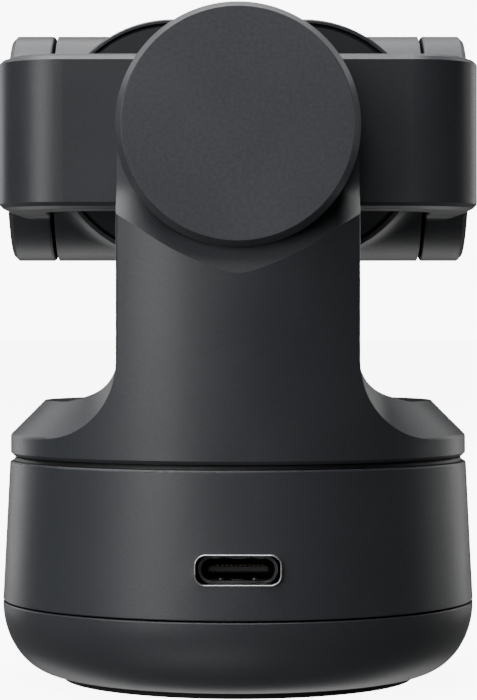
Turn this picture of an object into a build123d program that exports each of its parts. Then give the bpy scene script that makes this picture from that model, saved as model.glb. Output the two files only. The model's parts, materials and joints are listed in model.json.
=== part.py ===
from build123d import *
from math import asin, cos, degrees, radians, sin, sqrt
import os

os.makedirs("parts", exist_ok=True)

# Desktop pan, roll and tilt camera. Millimetres, +Z up, origin on the pan axis
# at the resting surface. The lens looks along -Y and the cable inlet faces +Y.

# ------------------------------------------------------------ driving dimensions
# base
FOOT_R, FOOT_T = 21.35, 0.70            # rubber foot disc
BASE_R = 28.50                          # widest radius, at the seam
SEAM_Z, SEAM_GAP = 9.56, 0.20           # seam between bottom cover and upper housing
COVER_RX, COVER_RZ = 7.00, 8.60         # semi-axes of the rounded lower edge
BASE_TOP_R, BASE_TOP_Z = 27.67, 26.37   # top rim of the upper housing
WALL = 1.90
TRIPOD_OD, TRIPOD_R = 9.50, 2.55        # 1/4"-20 insert: outside diameter, tapping-drill wall radius
POST_PCD_R, POST_R = 19.0, 3.0          # four screw posts
BOARD_Z, BOARD_T, BOARD_R = 12.70, 1.00, 24.0
# cable inlet, a USB Type-C receptacle
PORT_Z = 15.28
RECEPTACLE_W, RECEPTACLE_H = 8.94, 3.16 # outside of the steel shell
SHELL_W, SHELL_H = 8.34, 2.56           # opening of the steel shell
TONGUE_W, TONGUE_T = 6.69, 0.70
RECEPTACLE_BACK, RECEPTACLE_FRONT = 19.40, 26.70
TRIM_W, TRIM_H, TRIM_CORNER, TRIM_WALL = 9.80, 3.56, 1.25, 0.18
# turntable and column
TABLE_R, TABLE_Z = 27.59, 26.98         # collar radius and underside
COLLAR_TOP_Z = 29.50                    # top of the vertical wall, foot of the 45 degree cone
PLATEAU_Z = 33.65
COLUMN_HALF_W = 13.84
COLUMN_FRONT_Y = 17.90
COLUMN_FLARE_R = 7.50                   # concave radius between column and cone
COLUMN_FOOT_R = 6.6                     # rounded foot in front of each side wall
SKIRT_FLARE_R, SKIRT_FOOT_Z = 9.0, 29.44  # lower flare on the collar's edge
# gimbal axes
AXIS_Z = 65.10                          # height of the roll and tilt axes
TILT_Y = -13.70                         # tilt axis, in front of the pan axis
SHAFT_R = 1.45                          # all three motor shafts
BORE_R = 1.50                           # bearing bores: 0.05 running clearance
PRESS_R = 1.47                          # hub and wall bores that hold a shaft
BEARING_R = 3.50
# roll housing
CAP_R, CAP_FACE_R = 13.80, 13.08
CAP_BACK_Y, CAP_FACE_Y = 26.30, 28.30
HOUSING_R, HOUSING_BORE_R = 13.30, 12.24
# yoke
YOKE_X, YOKE_Y = 28.25, 17.50           # outer half width and rear face
YOKE_CORNER = 8.00
YOKE_IN_X, YOKE_IN_Y = 23.00, 10.50
YOKE_IN_CORNER = 6.00
YOKE_HALF_H = 9.00
BOSS_R = 14.20
CAP_SPLIT_X = 27.15                     # where the boss caps meet the yoke
# head
HEAD_HALF_X = 22.60
BARREL_R = 14.20
HEAD_BACK_Y, HEAD_FRONT_Y = 4.00, -28.20
RIM_C, RIM_R = 7.92, 14.45              # rear outline: arc centres and radius
HEAD_BLEND_R = 4.00
LENS_ELEMENTS = (                       # rear Y, rim Y, front Y and rim radius of each element
    (-21.2, -22.6, -24.2, 5.28),
    (-18.3, -19.6, -20.3, 5.28),
    (-14.0, -15.4, -16.8, 4.18),
)

# ------------------------------------------------------------------------- base
# rubber foot disc with a hole for the tripod screw
with BuildPart() as foot_pad:
    with BuildSketch():
        Circle(FOOT_R)
        Circle(5.0, mode=Mode.SUBTRACT)
    extrude(amount=FOOT_T)
    chamfer(foot_pad.edges().filter_by(GeomType.CIRCLE).group_by(Axis.Z)[0].sort_by(SortBy.RADIUS)[-1], 0.2)
foot_pad.part.label = "foot_pad"
export_step(foot_pad.part, "parts/foot_pad.step")

# rounded dish that closes the base from below
with BuildPart() as base_bottom_cover:
    with BuildSketch(Plane.XZ):
        with BuildLine():
            Line((0, FOOT_T), (21.5, FOOT_T))
            EllipticalCenterArc((21.5, SEAM_Z - 0.26), COVER_RX, COVER_RZ, start_angle=-90, arc_size=90)
            Polyline((28.5, SEAM_Z - 0.26), (28.5, SEAM_Z - 0.22), (28.38, SEAM_Z - 0.10), (26.42, SEAM_Z - 0.10), (26.42, 11.2), (25.4, 11.2), (25.4, SEAM_Z - 0.26))
            EllipticalCenterArc((21.4, SEAM_Z - 0.26), 4.0, 6.4, start_angle=-90, arc_size=90)
            Polyline((21.4, 2.9), (0, 2.9), (0, FOOT_T))
        make_face()
    revolve(axis=Axis.Z)
    # central boss round the tripod insert
    with BuildSketch(Plane.XY.offset(2.8)):
        Circle(7.0)
    extrude(amount=6.6)
    # standoffs under the main board
    with BuildSketch(Plane.XY.offset(2.8)):
        with Locations((20.5, 0), (-20.5, 0), (0, -20.5)):
            Circle(2.0)
    extrude(amount=BOARD_Z - 2.8)
    # seats for the housing posts
    with BuildSketch(Plane.XY.offset(2.8)):
        with PolarLocations(POST_PCD_R, 4, start_angle=45):
            Circle(POST_R + 0.2)
    extrude(amount=0.3)
    # pocket for the insert
    with BuildSketch(Plane.XY.offset(FOOT_T)):
        Circle(TRIPOD_OD / 2)
    extrude(amount=7.5, mode=Mode.SUBTRACT)
    # counterbored screw holes
    with BuildSketch(Plane.XY.offset(FOOT_T)):
        with PolarLocations(POST_PCD_R, 4, start_angle=45):
            Circle(2.1)
    extrude(amount=1.2, mode=Mode.SUBTRACT)
    with BuildSketch(Plane.XY.offset(FOOT_T)):
        with PolarLocations(POST_PCD_R, 4, start_angle=45):
            Circle(1.15)
    extrude(amount=4.0, mode=Mode.SUBTRACT)
base_bottom_cover.part.label = "base_bottom_cover"
export_step(base_bottom_cover.part, "parts/base_bottom_cover.step")

# threaded insert for a tripod screw, plain bore at the tapping diameter
with BuildPart() as tripod_insert:
    with BuildSketch(Plane.XY.offset(FOOT_T)):
        Circle(TRIPOD_OD / 2)
    extrude(amount=7.5)
    with BuildSketch(Plane.XY.offset(3.2)):
        Circle(TRIPOD_OD / 2 + 1)
        Circle(TRIPOD_OD / 2 - 0.4, mode=Mode.SUBTRACT)
    extrude(amount=1.0, mode=Mode.SUBTRACT)
    with BuildSketch(Plane.XY.offset(FOOT_T)):
        Circle(TRIPOD_R)
    extrude(amount=6.7, mode=Mode.SUBTRACT)
    chamfer(tripod_insert.edges().filter_by(GeomType.CIRCLE).group_by(Axis.Z)[0].sort_by(SortBy.RADIUS)[0], 0.4)
tripod_insert.part.label = "tripod_insert"
export_step(tripod_insert.part, "parts/tripod_insert.step")

# steel ring that keeps the camera from tipping
with BuildPart() as ballast_ring:
    with BuildSketch(Plane.XY.offset(2.9)):
        Circle(15.5)
        Circle(7.1, mode=Mode.SUBTRACT)
    extrude(amount=4.0)
    chamfer(ballast_ring.edges().filter_by(GeomType.CIRCLE).group_by(Axis.Z)[-1], 0.3)
ballast_ring.part.label = "ballast_ring"
export_step(ballast_ring.part, "parts/ballast_ring.step")

# four pan-head screws, from below into the housing posts
with BuildPart() as base_screws:
    with BuildSketch(Plane.XY.offset(0.75)):
        with PolarLocations(POST_PCD_R, 4, start_angle=45):
            Circle(1.9)
    extrude(amount=1.15)
    with BuildSketch(Plane.XY.offset(1.8)):
        with PolarLocations(POST_PCD_R, 4, start_angle=45):
            Circle(1.0)
    extrude(amount=11.0)
    # cross recess
    with BuildSketch(Plane.XY.offset(0.75)):
        with PolarLocations(POST_PCD_R, 4, start_angle=45):
            Rectangle(2.0, 0.45)
            Rectangle(0.45, 2.0)
    extrude(amount=0.6, mode=Mode.SUBTRACT)
base_screws.part.label = "base_screws"
export_step(base_screws.part, "parts/base_screws.step")

# finned aluminium plate that carries the processor's heat to the base
with BuildPart() as heat_spreader:
    with BuildSketch(Plane.XY.offset(9.4)):
        with Locations((0, -1)):
            RectangleRounded(20, 18, 2)
    extrude(amount=2.2)
    with BuildSketch(Plane.XY.offset(9.4)):
        with Locations((0, -1)):
            with GridLocations(2.4, 1, 7, 1):
                Rectangle(1.0, 20)
        Circle(7.4, mode=Mode.SUBTRACT)
    extrude(amount=1.2, mode=Mode.SUBTRACT)
heat_spreader.part.label = "heat_spreader"
export_step(heat_spreader.part, "parts/heat_spreader.step")

# image processor on the underside of the main board
with BuildPart() as processor_chip:
    with BuildSketch(Plane.XY.offset(11.6)):
        with Locations((0, -1)):
            Rectangle(13, 13)
    extrude(amount=BOARD_Z - 11.6)
    chamfer(processor_chip.edges().group_by(Axis.Z)[0], 0.15)
processor_chip.part.label = "processor_chip"
export_step(processor_chip.part, "parts/processor_chip.step")

# round main board
with BuildPart() as main_board:
    with BuildSketch(Plane.XY.offset(BOARD_Z)):
        Circle(BOARD_R)
        with PolarLocations(POST_PCD_R, 4, start_angle=45):
            Circle(POST_R + 0.3, mode=Mode.SUBTRACT)
        with Locations((0, -12.5)):
            Rectangle(6, 2, mode=Mode.SUBTRACT)
    extrude(amount=BOARD_T)
main_board.part.label = "main_board"
export_step(main_board.part, "parts/main_board.step")

# memory, power parts and board connectors on the upper side
BOARD_TOP = BOARD_Z + BOARD_T
with BuildPart() as board_components:
    for (x, y, w, d, h) in [(19.3, 3.8, 5.0, 5.5, 1.0), (19.3, -4.4, 5.0, 5.5, 1.0), (-19.3, 4.0, 4.2, 4.2, 2.2), (-19.3, -3.0, 4.2, 4.2, 2.2),
                            (-5.2, -19.0, 6.5, 3.2, 1.8), (5.2, -19.0, 6.5, 3.2, 1.8), (7.6, 19.2, 2.4, 3.0, 0.8), (-7.6, 19.2, 2.4, 3.0, 0.8)]:
        with BuildSketch(Plane.XY.offset(BOARD_TOP)):
            with Locations((x, y)):
                Rectangle(w, d)
        extrude(amount=h)
board_components.part.label = "board_components"
export_step(board_components.part, "parts/board_components.step")

# steel shell of the receptacle, open at the rear face of the base
with BuildPart() as usb_c_shell:
    with BuildSketch(Plane.XZ.offset(-RECEPTACLE_BACK)):
        with Locations((0, PORT_Z)):
            SlotOverall(RECEPTACLE_W, RECEPTACLE_H)
    extrude(amount=-(RECEPTACLE_FRONT - RECEPTACLE_BACK))
    with BuildSketch(Plane.XZ.offset(-RECEPTACLE_BACK - 0.4)):
        with Locations((0, PORT_Z)):
            SlotOverall(SHELL_W, SHELL_H)
    extrude(amount=-(RECEPTACLE_FRONT - RECEPTACLE_BACK), mode=Mode.SUBTRACT)
    # two latch windows in the lower wall and three slits in the upper wall
    with BuildSketch(Plane.XY.offset(BOARD_TOP - 1)):
        with Locations((-2.55, 24.9), (2.55, 24.9)):
            Rectangle(1.1, 1.6)
    extrude(amount=1.5, mode=Mode.SUBTRACT)
    with BuildSketch(Plane.XY.offset(PORT_Z + 1)):
        with Locations((-1.55, 25.4), (1.55, 25.4)):
            Rectangle(0.22, 3.0)
    extrude(amount=1.5, mode=Mode.SUBTRACT)
usb_c_shell.part.label = "usb_c_shell"
export_step(usb_c_shell.part, "parts/usb_c_shell.step")

# insulator: rear block and the tongue
with BuildPart() as usb_c_tongue:
    with BuildSketch(Plane.XZ.offset(-RECEPTACLE_BACK - 0.4)):
        with Locations((0, PORT_Z)):
            SlotOverall(SHELL_W - 0.02, SHELL_H - 0.02)
    extrude(amount=-1.2)
    with BuildSketch(Plane.XZ.offset(-RECEPTACLE_BACK - 1.6)):
        with Locations((0, PORT_Z)):
            Rectangle(TONGUE_W, TONGUE_T)
    extrude(amount=-(RECEPTACLE_FRONT - 0.75 - RECEPTACLE_BACK - 1.6))
    chamfer(usb_c_tongue.edges().filter_by(Axis.X).group_by(Axis.Y)[-1], 0.12)
usb_c_tongue.part.label = "usb_c_tongue"
export_step(usb_c_tongue.part, "parts/usb_c_tongue.step")

# contact strips on both faces of the tongue, 0.5 pitch
with BuildPart() as usb_c_contacts:
    for side in (1, -1):
        with BuildSketch(Plane.XY.offset(PORT_Z + side * TONGUE_T / 2)):
            with Locations((0, 23.3)):
                with GridLocations(0.5, 1, 12, 1):
                    Rectangle(0.26, 4.2)
        extrude(amount=side * 0.06)
usb_c_contacts.part.label = "usb_c_contacts"
export_step(usb_c_contacts.part, "parts/usb_c_contacts.step")

# outside envelope of the upper housing, used to trim the inlet ring to the wall
with BuildPart() as base_envelope:
    with BuildSketch(Plane.XZ):
        with BuildLine():
            Polyline((0, 9.0), (BASE_R, 9.0), (BASE_R, SEAM_Z), (BASE_TOP_R, BASE_TOP_Z), (0, BASE_TOP_Z), (0, 9.0))
        make_face()
    revolve(axis=Axis.Z)

# bright metal ring round the inlet, flush with the wall
with BuildPart() as usb_port_trim:
    with BuildSketch(Plane.XZ.offset(-26.9)):
        with Locations((0, PORT_Z)):
            RectangleRounded(TRIM_W, TRIM_H, TRIM_CORNER)
            RectangleRounded(TRIM_W - 2 * TRIM_WALL, TRIM_H - 2 * TRIM_WALL, TRIM_CORNER - TRIM_WALL, mode=Mode.SUBTRACT)
    extrude(amount=-3.0)
    add(base_envelope.part, mode=Mode.INTERSECT)
usb_port_trim.part.label = "usb_port_trim"
export_step(usb_port_trim.part, "parts/usb_port_trim.step")

# upper housing: wall, deck with the labyrinth groove, bearing boss and posts
with BuildPart() as base_shell:
    with BuildSketch(Plane.XZ):
        with BuildLine():
            Polyline((BASE_R, SEAM_Z + 0.10), (BASE_TOP_R, BASE_TOP_Z), (26.6, BASE_TOP_Z), (26.6, 25.4), (25.1, 25.4), (25.1, BASE_TOP_Z),
                     (BEARING_R, BASE_TOP_Z), (BEARING_R, 23.2), (2.5, 23.2), (2.5, 19.2), (BEARING_R, 19.2), (BEARING_R, 15.75), (5.0, 15.75),
                     (5.0, 24.4), (25.75, 24.4), (26.5, SEAM_Z + 0.10), (BASE_R, SEAM_Z + 0.10))
        make_face()
    revolve(axis=Axis.Z)
    rims = base_shell.edges().filter_by(GeomType.CIRCLE)
    fillet(rims.filter_by(lambda e: abs(e.radius - BASE_TOP_R) < 0.01), 0.30)
    chamfer(base_shell.edges().filter_by(GeomType.CIRCLE).filter_by(lambda e: abs(e.radius - BASE_R) < 0.01), 0.10)
    with BuildSketch(Plane.XY.offset(3.1)):
        with PolarLocations(POST_PCD_R, 4, start_angle=45):
            Circle(POST_R)
    extrude(amount=24.6 - 3.1)
    with BuildSketch(Plane.XY.offset(3.1)):
        with PolarLocations(POST_PCD_R, 4, start_angle=45):
            Circle(1.02)
    extrude(amount=10.5, mode=Mode.SUBTRACT)
    with BuildSketch(Plane.XZ.offset(-25.0)):
        with Locations((0, PORT_Z)):
            RectangleRounded(TRIM_W, TRIM_H, TRIM_CORNER)
    extrude(amount=-5.0, mode=Mode.SUBTRACT)
base_shell.part.label = "base_shell"
export_step(base_shell.part, "parts/base_shell.step")

# pan bearings, one in each end of the boss, with recessed shields
with BuildPart() as pan_bearings:
    for z0 in (23.2, 16.2):
        with BuildSketch(Plane.XY.offset(z0)):
            Circle(BEARING_R - 0.02)
            Circle(BORE_R, mode=Mode.SUBTRACT)
        extrude(amount=3.0)
    for z0 in (23.2, 16.2 + 2.8, 16.2, 23.2 + 2.8):
        with BuildSketch(Plane.XY.offset(z0)):
            Circle(2.9)
            Circle(2.1, mode=Mode.SUBTRACT)
        extrude(amount=0.2, mode=Mode.SUBTRACT)
pan_bearings.part.label = "pan_bearings"
export_step(pan_bearings.part, "parts/pan_bearings.step")

# twelve-tooth stator stack round the boss
with BuildPart() as pan_stator:
    with BuildSketch(Plane.XY.offset(16.6)):
        Circle(11.0)
        Circle(10.1, mode=Mode.SUBTRACT)
        with PolarLocations(10.5, 12, start_angle=15):
            Rectangle(3.0, 1.0, mode=Mode.SUBTRACT)
        with PolarLocations(8.3, 12):
            Rectangle(4.4, 1.6)
        Circle(6.6)
        Circle(5.02, mode=Mode.SUBTRACT)
    extrude(amount=4.8)
pan_stator.part.label = "pan_stator"
export_step(pan_stator.part, "parts/pan_stator.step")

# copper winding on each pan tooth
with BuildPart() as pan_coils:
    with BuildSketch(Plane.XY.offset(16.05)):
        with PolarLocations(8.35, 12):
            RectangleRounded(2.7, 2.8, 0.4)
    extrude(amount=5.9)
    with BuildSketch(Plane.XY.offset(16.58)):
        with PolarLocations(8.35, 12):
            Rectangle(3.4, 1.64)
    extrude(amount=4.84, mode=Mode.SUBTRACT)
pan_coils.part.label = "pan_coils"
export_step(pan_coils.part, "parts/pan_coils.step")

# -------------------------------------------------------------------- pan body
# steel bell that carries the pan magnets, fixed to the lower end of the shaft
with BuildPart() as pan_rotor_bell:
    with BuildSketch(Plane.XZ):
        with BuildLine():
            Polyline((PRESS_R, 14.75), (13.0, 14.75), (13.4, 15.15), (13.4, 21.9), (12.55, 21.9), (12.55, 15.45), (PRESS_R, 15.45), (PRESS_R, 14.75))
        make_face()
    revolve(axis=Axis.Z)
    with BuildSketch(Plane.XY.offset(14.0)):
        with PolarLocations(7.6, 6):
            Circle(1.9)
    extrude(amount=2.0, mode=Mode.SUBTRACT)
pan_rotor_bell.part.label = "pan_rotor_bell"
export_step(pan_rotor_bell.part, "parts/pan_rotor_bell.step")

# fourteen magnets inside the bell
with BuildPart() as pan_magnets:
    with BuildSketch(Plane.XY.offset(16.2)):
        Circle(12.53)
        Circle(11.35, mode=Mode.SUBTRACT)
        with PolarLocations(12.0, 14):
            Rectangle(3.0, 0.8, mode=Mode.SUBTRACT)
    extrude(amount=5.5)
pan_magnets.part.label = "pan_magnets"
export_step(pan_magnets.part, "parts/pan_magnets.step")

with BuildPart() as pan_shaft:
    with BuildSketch(Plane.XY.offset(14.75)):
        Circle(SHAFT_R)
    extrude(amount=14.95)
    chamfer(pan_shaft.edges().filter_by(GeomType.CIRCLE), 0.2)
pan_shaft.part.label = "pan_shaft"
export_step(pan_shaft.part, "parts/pan_shaft.step")

# hub pressed on the shaft, clamping the turntable floor
with BuildPart() as pan_hub:
    with BuildSketch(Plane.XZ):
        with BuildLine():
            Polyline((PRESS_R, 26.75), (2.9, 26.75), (2.9, 28.3), (7.5, 28.3), (7.5, 29.5), (PRESS_R, 29.5), (PRESS_R, 26.75))
        make_face()
    revolve(axis=Axis.Z)
    with BuildSketch(Plane.XY.offset(28.0)):
        with PolarLocations(5.4, 4, start_angle=45):
            Circle(0.8)
    extrude(amount=2.0, mode=Mode.SUBTRACT)
pan_hub.part.label = "pan_hub"
export_step(pan_hub.part, "parts/pan_hub.step")

# floor of the turntable, with the skirt that runs in the labyrinth groove
with BuildPart() as turntable_floor:
    with BuildSketch(Plane.XZ):
        with BuildLine():
            Polyline((3.0, TABLE_Z), (25.4, TABLE_Z), (25.4, 25.75), (26.3, 25.75), (26.3, 28.3), (3.0, 28.3), (3.0, TABLE_Z))
        make_face()
    revolve(axis=Axis.Z)
turntable_floor.part.label = "turntable_floor"
export_step(turntable_floor.part, "parts/turntable_floor.step")

# cylinder that trims the turntable and column
CONE_SUM = 23.44 + PLATEAU_Z            # radius plus height on the 45 degree cone
with BuildPart() as table_cylinder:
    with BuildSketch(Plane.XY.offset(TABLE_Z)):
        Circle(TABLE_R)
    extrude(amount=60)

# collar, cone, plateau and column in one moulding
# lower flares of the column, from its side walls down to the collar's edge
with BuildPart() as skirt_flares:
    with BuildSketch(Plane.XZ.offset(-9)):
        with BuildLine():
            Polyline((COLUMN_HALF_W, SKIRT_FOOT_Z + SKIRT_FLARE_R), (12.6, SKIRT_FOOT_Z + SKIRT_FLARE_R), (12.6, 28.4), (COLUMN_HALF_W + SKIRT_FLARE_R, 28.4), (COLUMN_HALF_W + SKIRT_FLARE_R, SKIRT_FOOT_Z))
            ThreePointArc((COLUMN_HALF_W + SKIRT_FLARE_R, SKIRT_FOOT_Z), (COLUMN_HALF_W + SKIRT_FLARE_R * (1 - sqrt(0.5)), SKIRT_FOOT_Z + SKIRT_FLARE_R * (1 - sqrt(0.5))), (COLUMN_HALF_W, SKIRT_FOOT_Z + SKIRT_FLARE_R))
        make_face()
        mirror(about=Plane.YZ)
    extrude(amount=-30)
    add(table_cylinder.part, mode=Mode.INTERSECT)
    # the front of each flare follows the rounded foot of the column
    with BuildSketch(Plane.XY.offset(PLATEAU_Z)):
        with Locations((0, COLUMN_FRONT_Y - 30)):
            Rectangle(80, 60)
    extrude(amount=60, mode=Mode.SUBTRACT)

with BuildPart() as turntable_shell:
    # oversize cone, with the column standing through its edge
    with BuildSketch(Plane.XZ):
        with BuildLine():
            Polyline((0, 15), (CONE_SUM - 15, 15), (CONE_SUM - PLATEAU_Z, PLATEAU_Z), (0, PLATEAU_Z), (0, 15))
        make_face()
    revolve(axis=Axis.Z)
    with BuildSketch(Plane.XY.offset(15)):
        with Locations((0, (8 + 50) / 2)):
            Rectangle(2 * COLUMN_HALF_W, 50 - 8)
    extrude(amount=85 - 15)
    roots = turntable_shell.edges().filter_by(
        lambda e: e.bounding_box().max.Z < PLATEAU_Z + 0.01 and e.bounding_box().max.Z > 15.5
        and abs(abs(e.bounding_box().center().X) - COLUMN_HALF_W) < 0.02 and e.bounding_box().size.X < 0.02)
    fillet(roots, COLUMN_FLARE_R)
    # cut to the collar's cylinder
    add(table_cylinder.part, mode=Mode.INTERSECT)
    # front face of the column, above the plateau; each side wall keeps a rounded foot
    with BuildSketch(Plane.XY.offset(PLATEAU_Z)):
        with Locations((0, COLUMN_FRONT_Y - 30)):
            Rectangle(2 * 12.6, 60)
    extrude(amount=60, mode=Mode.SUBTRACT)
    with BuildSketch(Plane.XY.offset(PLATEAU_Z)):
        with Locations((0, COLUMN_FRONT_Y - COLUMN_FOOT_R - 30)):
            Rectangle(80, 60)
    extrude(amount=60, mode=Mode.SUBTRACT)
    with BuildSketch(Plane.YZ.offset(-30)):
        with BuildLine():
            Line((COLUMN_FRONT_Y, PLATEAU_Z + COLUMN_FOOT_R), (COLUMN_FRONT_Y, 95))
            Polyline((COLUMN_FRONT_Y, 95), (COLUMN_FRONT_Y - COLUMN_FOOT_R - 1, 95), (COLUMN_FRONT_Y - COLUMN_FOOT_R - 1, PLATEAU_Z), (COLUMN_FRONT_Y - COLUMN_FOOT_R, PLATEAU_Z))
            ThreePointArc((COLUMN_FRONT_Y - COLUMN_FOOT_R, PLATEAU_Z), (COLUMN_FRONT_Y - COLUMN_FOOT_R * (1 - sqrt(0.5)), PLATEAU_Z + COLUMN_FOOT_R * (1 - sqrt(0.5))), (COLUMN_FRONT_Y, PLATEAU_Z + COLUMN_FOOT_R))
        make_face()
    extrude(amount=60, mode=Mode.SUBTRACT)
    # smooth set-back of the rear surface behind the round cap
    with BuildSketch(Plane.YZ.offset(-30)):
        with BuildLine():
            Spline((27.65, 47.6), (27.25, 49.7), (26.5, 51.3), (24.9, 54.0), (22.8, 56.4), (21.1, 58.8), (20.35, 61.6), (20.2, 64.6), tangents=[(0, 1), (0, 1)])
            Polyline((20.2, 64.6), (20.2, 90), (60, 90), (60, 47.6), (27.65, 47.6))
        make_face()
    extrude(amount=60, mode=Mode.SUBTRACT)
    # round top of the column
    with BuildSketch(Plane.XZ.offset(-10)):
        with Locations((0, AXIS_Z + 15)):
            Rectangle(60, 30)
        with Locations((0, AXIS_Z)):
            Circle(COLUMN_HALF_W, mode=Mode.SUBTRACT)
    extrude(amount=-30, mode=Mode.SUBTRACT)
    # roll housing, and the seat of the cap
    with BuildSketch(Plane.XZ.offset(-COLUMN_FRONT_Y)):
        with Locations((0, AXIS_Z)):
            Circle(HOUSING_R)
    extrude(amount=-(CAP_BACK_Y - COLUMN_FRONT_Y))
    with BuildSketch(Plane.XZ.offset(-CAP_BACK_Y)):
        with Locations((0, AXIS_Z)):
            Circle(CAP_R + 0.02)
    extrude(amount=-5, mode=Mode.SUBTRACT)
    # edge finish of the collar and the plateau
    chamfer(turntable_shell.edges().filter_by(GeomType.CIRCLE).group_by(Axis.Z)[0], 0.40)
    fillet(turntable_shell.edges().filter_by(GeomType.CIRCLE).filter_by(lambda e: abs(e.center().Z - COLLAR_TOP_Z) < 0.05 and abs(e.radius - TABLE_R) < 0.01), 0.5)
    add(skirt_flares.part)
    # hollow under the plateau, stepped for the floor
    with BuildSketch(Plane.XZ):
        with BuildLine():
            Polyline((0, 26), (26.32, 26), (26.32, 28.3), (25.4, 28.3), (25.4, 29.3), (22.7, 31.9), (0, 31.9), (0, 26))
        make_face()
    revolve(axis=Axis.Z, mode=Mode.SUBTRACT)
    # hollow of the column, open at the front
    with BuildSketch(Plane.XY.offset(34.5)):
        with Locations((0, 30)):
            Rectangle(2 * HOUSING_BORE_R, 2 * (30 - COLUMN_FRONT_Y))
        with Locations((0, 0)):
            Circle(25.9, mode=Mode.INTERSECT)
    extrude(amount=15.0, mode=Mode.SUBTRACT)
    with BuildSketch(Plane.YZ.offset(-HOUSING_BORE_R)):
        with BuildLine():
            Polyline((COLUMN_FRONT_Y, 49.4), (24.3, 49.4), (24.2, 51.2), (22.9, 53.2), (21.2, 55.3), (19.9, 57.2), (19.3, 58.6), (19.3, AXIS_Z), (COLUMN_FRONT_Y, AXIS_Z), (COLUMN_FRONT_Y, 49.4))
        make_face()
    extrude(amount=2 * HOUSING_BORE_R, mode=Mode.SUBTRACT)
    # bore of the roll housing
    with BuildSketch(Plane.XZ.offset(-COLUMN_FRONT_Y)):
        with Locations((0, AXIS_Z)):
            Circle(HOUSING_BORE_R)
    extrude(amount=-10, mode=Mode.SUBTRACT)
    # cable way from the turntable into the column
    with BuildSketch(Plane.XY.offset(31)):
        with Locations((0, 20.8)):
            Rectangle(12, 3.0)
    extrude(amount=4, mode=Mode.SUBTRACT)
    # posts for the front cover screws
    with BuildSketch(Plane.XZ.offset(-19.3)):
        with Locations((-9.5, 38.5), (9.5, 38.5), (-9.5, 50.0), (9.5, 50.0)):
            Circle(1.9)
    extrude(amount=-5.4)
    with BuildSketch(Plane.XZ.offset(-19.3)):
        with Locations((-9.5, 38.5), (9.5, 38.5), (-9.5, 50.0), (9.5, 50.0)):
            Circle(0.77)
    extrude(amount=-4.0, mode=Mode.SUBTRACT)
turntable_shell.part.label = "turntable_shell"
export_step(turntable_shell.part, "parts/turntable_shell.step")

# flat cover on the front of the column, under the roll motor
with BuildPart() as column_front_cover:
    with BuildSketch(Plane.XZ.offset(-COLUMN_FRONT_Y)):
        with Locations((0, (34.55 + AXIS_Z) / 2)):
            Rectangle(2 * HOUSING_BORE_R - 0.08, AXIS_Z - 34.55)
        with Locations((0, AXIS_Z)):
            Circle(HOUSING_BORE_R + 0.2, mode=Mode.SUBTRACT)
    extrude(amount=-1.4)
    with BuildSketch(Plane.XZ.offset(-COLUMN_FRONT_Y)):
        with Locations((-9.5, 38.5), (9.5, 38.5), (-9.5, 50.0), (9.5, 50.0)):
            Circle(1.5)
    extrude(amount=-0.8, mode=Mode.SUBTRACT)
    with BuildSketch(Plane.XZ.offset(-COLUMN_FRONT_Y)):
        with Locations((-9.5, 38.5), (9.5, 38.5), (-9.5, 50.0), (9.5, 50.0)):
            Circle(0.85)
    extrude(amount=-2, mode=Mode.SUBTRACT)
column_front_cover.part.label = "column_front_cover"
export_step(column_front_cover.part, "parts/column_front_cover.step")

with BuildPart() as column_screws:
    with BuildSketch(Plane.XZ.offset(-COLUMN_FRONT_Y - 0.05)):
        with Locations((-9.5, 38.5), (9.5, 38.5), (-9.5, 50.0), (9.5, 50.0)):
            Circle(1.4)
    extrude(amount=-0.75)
    with BuildSketch(Plane.XZ.offset(-COLUMN_FRONT_Y - 0.8)):
        with Locations((-9.5, 38.5), (9.5, 38.5), (-9.5, 50.0), (9.5, 50.0)):
            Circle(0.75)
    extrude(amount=-4.2)
    with BuildSketch(Plane.XZ.offset(-COLUMN_FRONT_Y - 0.05)):
        with Locations((-9.5, 38.5), (9.5, 38.5), (-9.5, 50.0), (9.5, 50.0)):
            Rectangle(1.5, 0.32)
            Rectangle(0.32, 1.5)
    extrude(amount=-0.4, mode=Mode.SUBTRACT)
column_screws.part.label = "column_screws"
export_step(column_screws.part, "parts/column_screws.step")

# motor driver board behind the front cover, with its driver chips
with BuildPart() as driver_board:
    with BuildSketch(Plane.XZ.offset(-21.3)):
        with Locations((0, 43.5)):
            Rectangle(14, 15)
    extrude(amount=-0.8)
    for (x, z) in ((-3.3, 46.4), (3.3, 46.4), (0, 40.2)):
        with BuildSketch(Plane.XZ.offset(-22.1)):
            with Locations((x, z)):
                Rectangle(4.2, 4.2)
        extrude(amount=-0.8)
driver_board.part.label = "driver_board"
export_step(driver_board.part, "parts/driver_board.step")

# flat cable from the turntable up to the driver board
with BuildPart() as column_flex_cable:
    with BuildSketch(Plane.XZ.offset(-21.05)):
        with Locations((0, (29.6 + 38.0) / 2)):
            Rectangle(6.0, 38.0 - 29.6)
    extrude(amount=-0.25)
column_flex_cable.part.label = "column_flex_cable"
export_step(column_flex_cable.part, "parts/column_flex_cable.step")

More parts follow.
